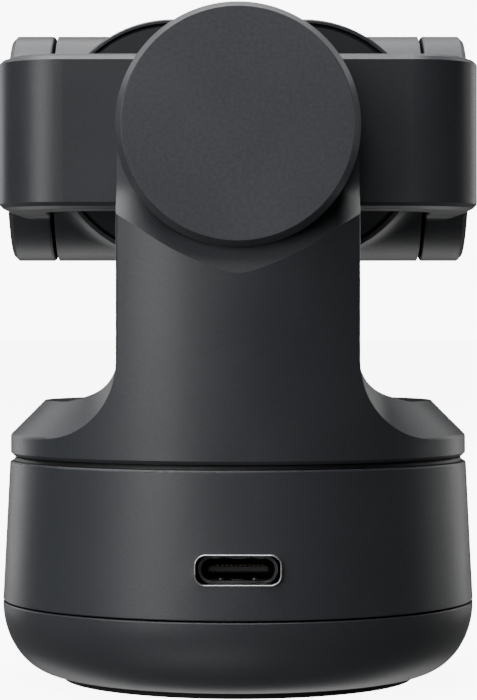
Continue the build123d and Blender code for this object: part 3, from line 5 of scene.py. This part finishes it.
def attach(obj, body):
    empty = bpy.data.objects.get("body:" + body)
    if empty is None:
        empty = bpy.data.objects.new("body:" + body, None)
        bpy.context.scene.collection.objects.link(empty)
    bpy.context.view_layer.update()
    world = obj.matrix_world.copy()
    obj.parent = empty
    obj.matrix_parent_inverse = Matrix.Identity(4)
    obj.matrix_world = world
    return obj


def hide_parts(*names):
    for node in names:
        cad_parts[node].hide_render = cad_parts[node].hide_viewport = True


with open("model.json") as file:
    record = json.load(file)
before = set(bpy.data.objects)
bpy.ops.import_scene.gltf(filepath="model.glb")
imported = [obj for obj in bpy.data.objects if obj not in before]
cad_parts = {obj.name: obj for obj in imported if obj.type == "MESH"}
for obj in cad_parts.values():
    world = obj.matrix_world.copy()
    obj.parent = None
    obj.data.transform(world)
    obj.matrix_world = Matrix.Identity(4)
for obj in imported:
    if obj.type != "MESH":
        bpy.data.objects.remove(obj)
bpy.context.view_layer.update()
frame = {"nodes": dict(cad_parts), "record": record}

# ------------------------------------------------------------------ node helpers
def new_mat(name):
    m = bpy.data.materials.new(name)
    m.use_nodes = True
    nt = m.node_tree
    for n in list(nt.nodes):
        nt.nodes.remove(n)
    out = nt.nodes.new("ShaderNodeOutputMaterial")
    p = nt.nodes.new("ShaderNodeBsdfPrincipled")
    nt.links.new(p.outputs["BSDF"], out.inputs["Surface"])
    return m, nt, p


def coords(nt, scale=(1, 1, 1)):
    tc = nt.nodes.new("ShaderNodeTexCoord")
    mp = nt.nodes.new("ShaderNodeMapping")
    mp.inputs["Scale"].default_value = scale
    nt.links.new(tc.outputs["Object"], mp.inputs["Vector"])
    return mp.outputs["Vector"]


def noise(nt, vec, scale, detail=3.0, rough=0.55):
    n = nt.nodes.new("ShaderNodeTexNoise")
    n.inputs["Scale"].default_value = scale
    n.inputs["Detail"].default_value = detail
    n.inputs["Roughness"].default_value = rough
    nt.links.new(vec, n.inputs["Vector"])
    return n.outputs["Fac"]


def remap(nt, val, a, b, c, d):
    r = nt.nodes.new("ShaderNodeMapRange")
    r.clamp = True
    r.inputs["From Min"].default_value = a
    r.inputs["From Max"].default_value = b
    r.inputs["To Min"].default_value = c
    r.inputs["To Max"].default_value = d
    nt.links.new(val, r.inputs["Value"])
    return r.outputs["Result"]


def mix(nt, fac, c1, c2):
    m = nt.nodes.new("ShaderNodeMix")
    m.data_type = "RGBA"
    nt.links.new(fac, m.inputs["Factor"])
    for s, c in ((m.inputs["A"] if False else m.inputs[6], c1), (m.inputs[7], c2)):
        if isinstance(c, (tuple, list)):
            s.default_value = (*c, 1.0)
        else:
            nt.links.new(c, s)
    return m.outputs[2]


def math_node(nt, op, a, b):
    m = nt.nodes.new("ShaderNodeMath")
    m.operation = op
    for i, v in enumerate((a, b)):
        if isinstance(v, (int, float)):
            m.inputs[i].default_value = v
        else:
            nt.links.new(v, m.inputs[i])
    return m.outputs[0]


def bump(nt, p, height, distance, strength=1.0):
    b = nt.nodes.new("ShaderNodeBump")
    b.inputs["Distance"].default_value = distance
    b.inputs["Strength"].default_value = strength
    nt.links.new(height, b.inputs["Height"])
    nt.links.new(b.outputs["Normal"], p.inputs["Normal"])


def edge_mask(nt, radius, lo=0.02, hi=0.30):
    """1 on convex and concave corners about `radius` wide, 0 on plain faces."""
    bv = nt.nodes.new("ShaderNodeBevel")
    bv.samples = 4
    bv.inputs["Radius"].default_value = radius
    g = nt.nodes.new("ShaderNodeNewGeometry")
    d = nt.nodes.new("ShaderNodeVectorMath")
    d.operation = "DOT_PRODUCT"
    nt.links.new(bv.outputs["Normal"], d.inputs[0])
    nt.links.new(g.outputs["Normal"], d.inputs[1])
    return remap(nt, d.outputs["Value"], 1.0 - lo, 1.0 - hi, 0.0, 1.0)


def moulded(name, dark, light, rough=0.40, rough_var=0.06, grain=5200.0, depth=0.000012,
            wear=None, wear_r=0.00016, spec=0.5, coat=0.0):
    """Satin moulded plastic: fine spark-eroded grain, faint speckle, flow variation and rubbed edges."""
    m, nt, p = new_mat(name)
    v = coords(nt)
    flow = noise(nt, v, 55.0, 2.0)
    speck = noise(nt, v, 2300.0, 2.0, 0.6)
    fine = noise(nt, v, grain, 4.0, 0.6)
    blend_f = math_node(nt, "ADD", math_node(nt, "MULTIPLY", flow, 0.45), math_node(nt, "MULTIPLY", speck, 0.55))
    f = remap(nt, blend_f, 0.36, 0.64, 0.0, 1.0)
    col = mix(nt, f, dark, light)
    r = remap(nt, math_node(nt, "ADD", math_node(nt, "MULTIPLY", fine, 0.5), math_node(nt, "MULTIPLY", flow, 0.5)),
              0.35, 0.65, rough - rough_var, rough + rough_var)
    if wear:
        e = edge_mask(nt, wear_r)
        broken = remap(nt, noise(nt, v, 420.0, 4.0, 0.65), 0.40, 0.62, 0.15, 1.0)
        w = math_node(nt, "MULTIPLY", e, broken)
        col = mix(nt, w, col, wear)
        r = math_node(nt, "SUBTRACT", r, math_node(nt, "MULTIPLY", w, 0.10))
    nt.links.new(col, p.inputs["Base Color"])
    nt.links.new(r, p.inputs["Roughness"])
    p.inputs["Specular IOR Level"].default_value = spec
    p.inputs["Metallic"].default_value = 0.0
    h = math_node(nt, "ADD", fine, math_node(nt, "MULTIPLY", speck, 0.6))
    bump(nt, p, h, depth)
    return m


def metal(name, dark, light, rough=0.28, stretch=(1, 1, 1), scale=900.0, depth=0.000004, wear=None, metallic=1.0):
    """Turned, drawn or plated metal: a stretched grain, patchy tarnish and brighter rubbed edges."""
    m, nt, p = new_mat(name)
    v = coords(nt, stretch)
    g = noise(nt, v, scale, 5.0, 0.65)
    patch = noise(nt, coords(nt), 180.0, 3.0)
    f = remap(nt, math_node(nt, "ADD", math_node(nt, "MULTIPLY", g, 0.6), math_node(nt, "MULTIPLY", patch, 0.4)),
              0.35, 0.65, 0.0, 1.0)
    col = mix(nt, f, dark, light)
    if wear:
        col = mix(nt, edge_mask(nt, 0.00012), col, wear)
    nt.links.new(col, p.inputs["Base Color"])
    nt.links.new(remap(nt, g, 0.3, 0.7, rough - 0.07, rough + 0.09), p.inputs["Roughness"])
    p.inputs["Metallic"].default_value = metallic
    bump(nt, p, g, depth)
    return m


def board(name):
    m, nt, p = new_mat(name)
    v = coords(nt)
    w = nt.nodes.new("ShaderNodeTexVoronoi")
    w.feature = "DISTANCE_TO_EDGE"
    w.inputs["Scale"].default_value = 620.0
    nt.links.new(v, w.inputs["Vector"])
    tr = remap(nt, w.outputs["Distance"], 0.04, 0.09, 1.0, 0.0)
    col = mix(nt, tr, (0.010, 0.085, 0.045), (0.03, 0.19, 0.10))
    nt.links.new(col, p.inputs["Base Color"])
    nt.links.new(remap(nt, noise(nt, v, 1500.0), 0.3, 0.7, 0.30, 0.45), p.inputs["Roughness"])
    p.inputs["Specular IOR Level"].default_value = 0.5
    bump(nt, p, tr, 0.00002)
    return m


def glass(name, tint, rough=0.02, ior=1.5, smudge=0.03):
    m, nt, p = new_mat(name)
    v = coords(nt)
    n = noise(nt, v, 130.0, 5.0, 0.6)
    nt.links.new(mix(nt, remap(nt, n, 0.4, 0.6, 0.0, 1.0), tint, tuple(min(1.0, c * 1.12) for c in tint)), p.inputs["Base Color"])
    nt.links.new(remap(nt, n, 0.45, 0.62, rough, rough + smudge), p.inputs["Roughness"])
    p.inputs["Transmission Weight"].default_value = 1.0
    p.inputs["IOR"].default_value = ior
    bump(nt, p, n, 0.000002)
    return m


# ------------------------------------------------------------------ the materials
MATS = {
    "charcoal_housing": moulded("charcoal_housing", (0.0325, 0.0348, 0.0400), (0.0415, 0.0442, 0.0505), 0.40,
                                wear=(0.075, 0.076, 0.080)),
    "dark_cover": moulded("dark_cover", (0.0212, 0.0225, 0.0256), (0.0270, 0.0286, 0.0322), 0.43,
                          wear=(0.055, 0.056, 0.059), wear_r=0.00012),
    "black_plastic": moulded("black_plastic", (0.009, 0.009, 0.0095), (0.013, 0.013, 0.0135), 0.5, wear=(0.03, 0.03, 0.031)),
    "chip_black": moulded("chip_black", (0.018, 0.018, 0.02), (0.03, 0.03, 0.032), 0.6, grain=9000.0),
    "foot_rubber": moulded("foot_rubber", (0.012, 0.012, 0.0125), (0.022, 0.022, 0.0225), 0.78, 0.08, grain=3000.0,
                           depth=0.00003, wear=(0.05, 0.05, 0.05), spec=0.3),
    "flex_amber": moulded("flex_amber", (0.32, 0.15, 0.03), (0.46, 0.24, 0.06), 0.35, grain=4000.0),
    "receptacle_steel": metal("receptacle_steel", (0.10, 0.10, 0.105), (0.17, 0.17, 0.175), 0.34, wear=(0.4, 0.4, 0.41)),
    "bright_metal": metal("bright_metal", (0.70, 0.70, 0.71), (0.86, 0.86, 0.87), 0.22, stretch=(1, 6, 1)),
    "gold_contact": metal("gold_contact", (0.72, 0.48, 0.18), (0.86, 0.62, 0.28), 0.25),
    "brass_insert": metal("brass_insert", (0.52, 0.36, 0.14), (0.74, 0.55, 0.27), 0.28, stretch=(1, 1, 8), wear=(0.9, 0.74, 0.45)),
    "ballast_steel": metal("ballast_steel", (0.34, 0.34, 0.35), (0.48, 0.48, 0.49), 0.35),
    "screw_steel": metal("screw_steel", (0.16, 0.16, 0.165), (0.30, 0.30, 0.31), 0.32, wear=(0.55, 0.55, 0.56)),
    "machined_aluminium": metal("machined_aluminium", (0.62, 0.62, 0.63), (0.80, 0.80, 0.81), 0.30, stretch=(1, 1, 10)),
    "bearing_steel": metal("bearing_steel", (0.50, 0.50, 0.51), (0.70, 0.70, 0.71), 0.18, stretch=(6, 6, 1)),
    "stator_steel": metal("stator_steel", (0.18, 0.18, 0.19), (0.30, 0.30, 0.31), 0.40, stretch=(1, 1, 30)),
    "copper_winding": metal("copper_winding", (0.48, 0.17, 0.06), (0.72, 0.32, 0.14), 0.30, stretch=(1, 1, 20), scale=1500.0, depth=0.00005),
    "bell_steel": metal("bell_steel", (0.40, 0.40, 0.41), (0.58, 0.58, 0.59), 0.24, stretch=(1, 1, 12)),
    "magnet_nickel": metal("magnet_nickel", (0.55, 0.54, 0.50), (0.72, 0.70, 0.66), 0.22),
    "shaft_steel": metal("shaft_steel", (0.60, 0.60, 0.61), (0.78, 0.78, 0.79), 0.14, stretch=(1, 1, 6)),
    "board_green": board("board_green"),
    "window_glass": glass("window_glass", (0.30, 0.31, 0.34)),
    "lens_glass": glass("lens_glass", (0.20, 0.24, 0.42), 0.01, 1.62, 0.0),
}
MATS["cap_satin"] = moulded("cap_satin", (0.0440, 0.0470, 0.0535), (0.0640, 0.0680, 0.0765), 0.46, grain=3600.0,
                            depth=0.000016, wear=(0.10, 0.101, 0.105))
MATS["ring_metal"] = metal("ring_metal", (0.80, 0.80, 0.81), (0.90, 0.90, 0.91), 0.30, scale=5000.0, depth=0.000001)
MATS["sensor_face"] = metal("sensor_face", (0.03, 0.05, 0.07), (0.09, 0.12, 0.14), 0.12, scale=3000.0, metallic=0.6)

# every carried-over CAD node takes its slot's material
slot_of = {s["node"]: s["material_slot"] for s in frame["record"]["subparts"]}
for n, o in frame["nodes"].items():
    o.data.materials.clear()
    o.data.materials.append(MATS[slot_of[n]])


frame["nodes"]["back_cap"].data.materials[0] = MATS["cap_satin"]

# ------------------------------------------------------------------ detail pieces
def piece(name, bm, mat, body, smooth=True):
    me = bpy.data.meshes.new(name)
    bmesh.ops.recalc_face_normals(bm, faces=bm.faces)
    bm.to_mesh(me)
    bm.free()
    for f in me.polygons:
        f.use_smooth = smooth
    o = bpy.data.objects.new(name, me)
    bpy.context.scene.collection.objects.link(o)
    me.materials.append(MATS[mat])
    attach(o, body)
    return o


MM = 0.001
AXIS_Z, TILT_Y = 65.1, -13.7

# the tripod insert with its real thread: a swept V-groove helix, chamfered mouth and a knurled flange
def threaded_insert():
    bm = bmesh.new()
    seg, turns, pitch = 72, 5, 1.27
    r_minor, r_major, r_out = 2.55, 3.10, 4.72
    z0, z1, z_top = 0.75, 7.4, 8.15
    prof_n = 10
    rows = []
    steps = int((z1 - 1.15) / pitch * prof_n)
    for i in range(steps + 1):
        z = 1.15 + (z1 - 1.15) * i / steps
        ring = []
        for k in range(seg):
            a = 2 * math.pi * k / seg
            ph = ((z - 1.15) / pitch - k / seg) % 1.0
            tri = max(0.0, 1.0 - abs(ph - 0.5) / 0.44)
            ease = min(1.0, (z - 1.15) / 0.5, (z1 - z) / 0.7)
            r = r_minor + (r_major - r_minor) * min(tri, 0.88) / 0.88 * max(0.0, ease)
            ring.append(bm.verts.new((r * MM * math.cos(a), r * MM * math.sin(a), z * MM)))
        rows.append(ring)

    def ring_at(r, z, wave=0.0):
        return [bm.verts.new(((r + wave * (k % 2)) * MM * math.cos(2 * math.pi * k / seg),
                              (r + wave * (k % 2)) * MM * math.sin(2 * math.pi * k / seg), z * MM)) for k in range(seg)]

    mouth = ring_at(2.95, z0)
    flange_in = ring_at(4.45, z0)
    flange_edge = ring_at(r_out - 0.02, z0 + 0.22)
    chain = [mouth] + rows
    for a, b in zip(chain, chain[1:]):
        for k in range(seg):
            bm.faces.new((a[k], a[(k + 1) % seg], b[(k + 1) % seg], b[k]))
    floor_v = bm.verts.new((0, 0, z1 * MM))
    for k in range(seg):
        bm.faces.new((rows[-1][k], rows[-1][(k + 1) % seg], floor_v))
    outer = [mouth, flange_in, flange_edge]
    for z in (2.2, 2.3, 3.6, 3.7, 5.0, 5.1, 6.4, 6.5, z_top - 0.2):
        outer.append(ring_at(r_out - 0.14, z, 0.12))
    outer.append(ring_at(4.4, z_top))
    for a, b in zip(outer, outer[1:]):
        for k in range(seg):
            bm.faces.new((a[k], b[k], b[(k + 1) % seg], a[(k + 1) % seg]))
    cap = bm.verts.new((0, 0, z_top * MM))
    for k in range(seg):
        bm.faces.new((outer[-1][k], cap, outer[-1][(k + 1) % seg]))
    o = piece("tripod_thread_insert", bm, "brass_insert", "base", smooth=False)
    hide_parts("tripod_insert")
    return o


threaded_insert()


# anti-glare steps inside the lens barrel, seen through the window
def baffle():
    bm = bmesh.new()
    seg = 120
    prof = []
    n = 7
    for i in range(n):
        r, y = 6.56 - 0.155 * i, -26.74 + 0.43 * i
        prof += [(r, y + 0.02), (r - 0.02, y), (r - 0.135, y), (r - 0.155, y + 0.02)]
    prof += [(5.46, -23.70), (5.85, -23.66), (6.62, -26.60)]
    rings = [[bm.verts.new((r * MM * math.cos(2 * math.pi * k / seg), y * MM,
                            (AXIS_Z + r * math.sin(2 * math.pi * k / seg)) * MM)) for k in range(seg)] for r, y in prof]
    for a, b in zip(rings, rings[1:] + rings[:1]):
        for k in range(seg):
            bm.faces.new((a[k], a[(k + 1) % seg], b[(k + 1) % seg], b[k]))
    return piece("lens_baffle_steps", bm, "black_plastic", "head", smooth=False)


baffle()

# ---- the inlet: a bright ring with a rolled front lip, leaf springs and detents inside the receptacle
def racetrack(w, h, r, inset, y, zc, n=14):
    r = max(r - inset, 0.02)
    hw, hh = w / 2 - inset - r, h / 2 - inset - r
    pts = []
    for cx, cz, a0 in ((hw, hh, 0), (-hw, hh, 90), (-hw, -hh, 180), (hw, -hh, 270)):
        for k in range(n + 1):
            a = math.radians(a0 + 90.0 * k / n)
            pts.append((cx + r * math.cos(a), y, zc + cz + r * math.sin(a)))
    return pts


def swept_ring(name, sections, mat, body, close=True):
    bm = bmesh.new()
    rings = [[bm.verts.new((x * MM, y * MM, z * MM)) for x, y, z in sec] for sec in sections]
    pairs = list(zip(rings, rings[1:] + (rings[:1] if close else [])))
    for a, b in pairs:
        m = len(a)
        for k in range(m):
            bm.faces.new((a[k], a[(k + 1) % m], b[(k + 1) % m], b[k]))
    return piece(name, bm, mat, body)


lip = [(0.0, 26.95), (0.0, 28.10), (0.012, 28.19), (0.045, 28.255), (0.09, 28.28), (0.135, 28.255), (0.168, 28.19), (0.18, 28.10), (0.18, 26.95)]
ring = swept_ring("inlet_trim_ring", [racetrack(9.80, 3.56, 1.25, n, y, 15.28) for n, y in lip], "ring_metal", "base")
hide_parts("usb_port_trim")


def leaf(name, x, w, z_wall, up):
    """A stamped leaf spring: rooted at the back, bowed into the opening, its tip turned back to the wall."""
    bm = bmesh.new()
    rows = []
    n = 18
    for i in range(n + 1):
        t = i / n
        y = 21.0 + 5.1 * t
        bow = 0.30 * math.sin(math.pi * min(1.0, t * 1.02)) ** 1.4
        z = z_wall + up * (0.02 + bow)
        half = w / 2 * (1.0 - 0.18 * t ** 3)
        rows.append([bm.verts.new(((x + sx * half) * MM, y * MM, z * MM + up * 0.02 * MM * (1 - abs(sx)))) for sx in (-1, -0.6, 0, 0.6, 1)])
    for a, b in zip(rows, rows[1:]):
        for k in range(4):
            bm.faces.new((a[k], a[k + 1], b[k + 1], b[k]))
    o = piece(name, bm, "receptacle_steel", "base")
    sol = o.modifiers.new("thickness", "SOLIDIFY")
    sol.thickness = 0.00008
    sol.offset = 0.0
    return o


for i, (x, w, z, up) in enumerate(((0.0, 1.9, 16.52, -1), (2.55, 0.85, 16.52, -1), (-2.55, 0.85, 16.52, -1), (0.0, 1.9, 14.04, 1))):
    leaf("shell_spring_%d" % (i + 1), x, w, z, up)


def detent(name, x):
    bm = bmesh.new()
    seg = 28
    prof = [(0.46, 0.0), (0.44, 0.10), (0.38, 0.22), (0.27, 0.32), (0.14, 0.375), (0.0, 0.39)]
    rings = []
    for r, z in prof[:-1]:
        rings.append([bm.verts.new(((x + r * math.cos(2 * math.pi * k / seg)) * MM, (25.35 + r * 1.1 * math.sin(2 * math.pi * k / seg)) * MM, (14.02 + z) * MM)) for k in range(seg)])
    tip = bm.verts.new((x * MM, 25.35 * MM, (14.02 + 0.39) * MM))
    for a, b in zip(rings, rings[1:]):
        for k in range(seg):
            bm.faces.new((a[k], a[(k + 1) % seg], b[(k + 1) % seg], b[k]))
    for k in range(seg):
        bm.faces.new((rings[-1][k], rings[-1][(k + 1) % seg], tip))
    bm.faces.new(list(reversed(rings[0])))
    return piece(name, bm, "receptacle_steel", "base")


detent("shell_detent_left", 1.9)
detent("shell_detent_right", -1.9)


# ---- painted shade: a black lip-profiled ring of revolution filling the gap under the turntable, standing in for the gap's shadow
def revolved(name, prof, mat, body, seg=180):
    return swept_ring(name, [[(r * math.cos(2 * math.pi * k / seg), r * math.sin(2 * math.pi * k / seg), z) for k in range(seg)] for r, z in prof], mat, body)


# black filler ring: painted shade where the deep gap would fall into shadow
revolved("turntable_gap_painted_shade_ring", [(26.42, 26.39), (27.16, 26.39), (27.20, 26.44), (27.14, 26.58), (27.05, 26.72), (26.98, 26.86), (26.90, 26.90), (26.80, 26.86), (26.74, 26.70), (26.60, 26.62), (26.42, 26.60)],
         "black_plastic", "base")

# ------------------------------------------------------------------ the studio
def area(name, theta, elev, dist, w, h, power, color=(1, 1, 1)):
    """theta: degrees to the picture's left of the camera, as seen from the object."""
    l = bpy.data.lights.new(name, "AREA")
    l.shape = "RECTANGLE"
    l.size, l.size_y = w, h
    l.energy = power
    l.color = color
    o = bpy.data.objects.new(name, l)
    t, e = math.radians(theta), math.radians(elev)
    c = Vector((0.0, 0.0, 0.05))
    d = Vector((math.sin(t) * math.cos(e), math.cos(t) * math.cos(e), math.sin(e)))
    o.location = c + d * dist
    o.rotation_mode = "QUATERNION"
    o.rotation_quaternion = (-d).to_track_quat("-Z", "Y")
    o.visible_camera = False
    bpy.context.scene.collection.objects.link(o)
    return o


area("key_left", 42, 14, 0.75, 0.34, 0.62, 3.0)
area("rim_left", 141, 12, 0.75, 0.26, 0.60, 0.95)
area("rim_right", -138, 12, 0.75, 0.26, 0.60, 0.95)
area("side_right", -112, 12, 0.80, 0.20, 0.60, 0.42)
area("top", 70, 78, 0.75, 0.60, 0.60, 9.5)
area("back_top", 180, 50, 0.80, 0.80, 0.30, 2.6)
area("under_back", 180, -42, 0.80, 0.90, 0.35, 1.3)
area("under_front", 25, -50, 0.80, 0.60, 0.30, 0.6)
area("front_fill", 18, 24, 0.85, 0.50, 0.40, 1.05)

w = bpy.data.worlds.new("studio")
w.use_nodes = True
nt = w.node_tree
for n in list(nt.nodes):
    nt.nodes.remove(n)
wo = nt.nodes.new("ShaderNodeOutputWorld")
bg = nt.nodes.new("ShaderNodeBackground")
bg.inputs["Color"].default_value = (1.0, 1.0, 1.0, 1.0)
tcw = nt.nodes.new("ShaderNodeTexCoord")
sep = nt.nodes.new("ShaderNodeSeparateXYZ")
nt.links.new(tcw.outputs["Generated"], sep.inputs["Vector"])
nt.links.new(remap(nt, sep.outputs["Z"], -0.25, 0.05, 0.15, 0.025), bg.inputs["Strength"])
bg2 = nt.nodes.new("ShaderNodeBackground")
bg2.inputs["Color"].default_value = (1.0, 1.0, 1.0, 1.0)
bg2.inputs["Strength"].default_value = 9.0
lp = nt.nodes.new("ShaderNodeLightPath")
ms = nt.nodes.new("ShaderNodeMixShader")
nt.links.new(lp.outputs["Is Camera Ray"], ms.inputs["Fac"])
nt.links.new(bg.outputs["Background"], ms.inputs[1])
nt.links.new(bg2.outputs["Background"], ms.inputs[2])
nt.links.new(ms.outputs["Shader"], wo.inputs["Surface"])
bpy.context.scene.world = w

fm, fnt, fp = new_mat("pale_floor")
fv = coords(fnt)
fnt.links.new(mix(fnt, noise(fnt, fv, 6.0, 2.0), (0.86, 0.86, 0.86), (0.90, 0.90, 0.90)), fp.inputs["Base Color"])
fp.inputs["Roughness"].default_value = 0.7
fp.inputs["Emission Color"].default_value = (1.0, 1.0, 1.0, 1.0)
fp.inputs["Emission Strength"].default_value = 8.0
fp.inputs["Specular IOR Level"].default_value = 0.2
bpy.ops.mesh.primitive_plane_add(size=80.0, location=(0, 0, 0))
floor = bpy.context.active_object
floor.name = "floor"
floor.data.materials.append(fm)
floor.visible_diffuse = False
floor.visible_glossy = False
floor.visible_transmission = False
floor.visible_shadow = False

cam = bpy.data.cameras.new("camera")
cam.sensor_width = 36.0
cam.lens = 137.16
cam.shift_y = -0.022
cam.shift_x = 0.0007
cam.clip_start = 0.01
cam.clip_end = 20.0
co = bpy.data.objects.new("camera", cam)
co.location = (0.0, 0.325, 0.04155)
co.rotation_euler = (math.radians(90), 0.0, math.radians(180))
bpy.context.scene.collection.objects.link(co)
bpy.context.scene.camera = co
